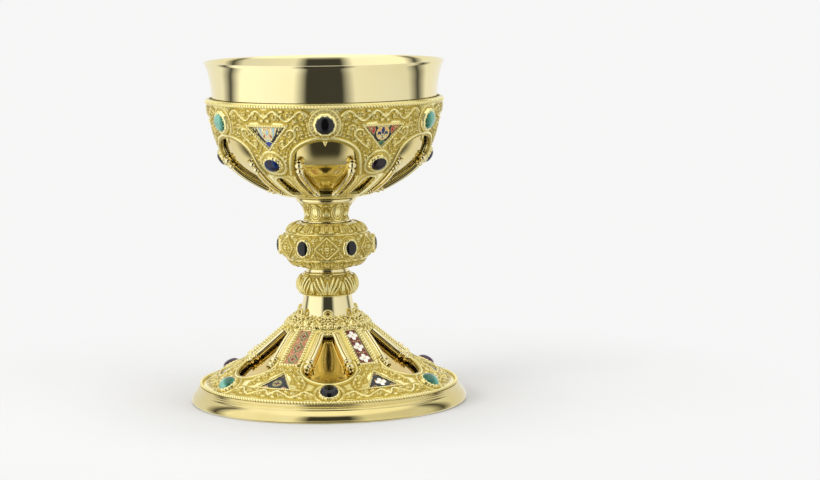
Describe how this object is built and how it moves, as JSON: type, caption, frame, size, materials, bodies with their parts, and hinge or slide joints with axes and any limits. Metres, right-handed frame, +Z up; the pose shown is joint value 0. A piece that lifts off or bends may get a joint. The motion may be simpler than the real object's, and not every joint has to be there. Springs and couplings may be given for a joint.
{
  "type": "communion chalice",
  "caption": "Footed communion cup: plain flared bowl in a jewelled openwork calyx, on a stem with a knop and a pierced conical foot.",
  "frame": {"origin": "on the table under the centre of the foot", "axes": "+Z up along the axis of the cup and stem; -Y is the front, with an onyx cabochon on the bowl and on the foot"},
  "size_m": [0.1538, 0.1538, 0.19],
  "materials": {
    "polished_gold": "polished, gold plated",
    "chased_gold": "chased and satin, gold plated",
    "plain_brass": "turned, unplated",
    "steel": "turned",
    "enamel": "fired enamel, glossy, several colours",
    "onyx": "polished cabochon",
    "malachite": "polished cabochon",
    "amethyst": "polished cabochon",
    "garnet": "polished cabochon",
    "sapphire": "polished cabochon"
  },
  "bodies": {
    "root": {"cup": "polished_gold", "cup_boss": "plain_brass", "calyx_shell": "chased_gold", "calyx_triangle_enamels": "enamel", "calyx_triangle_ropes": "chased_gold", "calyx_lip_rope": "chased_gold", "calyx_capitals": "polished_gold", "calyx_column_bases": "polished_gold", "calyx_columns": "polished_gold", "calyx_large_bezels": "chased_gold", "calyx_onyx_stones": "onyx", "calyx_malachite_stones": "malachite", "calyx_amethyst_stones": "amethyst", "calyx_small_bezels": "chased_gold", "calyx_garnet_stones": "garnet", "calyx_sapphire_stones": "sapphire", "collar_ring": "polished_gold", "neck": "chased_gold", "neck_ring": "polished_gold", "knop_upper_dome": "chased_gold", "knop_band": "chased_gold", "knop_lower_dome": "chased_gold", "knop_bezels": "chased_gold", "knop_stones": "onyx", "spacer_ring": "polished_gold", "lower_knop": "chased_gold", "stem_cone": "polished_gold", "foot_shell": "chased_gold", "foot_panel_enamels": "enamel", "foot_triangle_enamels": "enamel", "foot_panel_ropes": "chased_gold", "foot_triangle_ropes": "chased_gold", "foot_liner": "polished_gold", "foot_capitals": "polished_gold", "foot_columns": "polished_gold", "foot_bezels": "chased_gold", "foot_onyx_stones": "onyx", "foot_malachite_stones": "malachite", "foot_amethyst_stones": "amethyst", "foot_crown": "chased_gold", "foot_rim_rope": "chased_gold", "base_ring": "polished_gold", "tie_rod": "steel", "clamp_washer": "plain_brass", "tie_nut": "steel"}
  },
  "joints": []
}
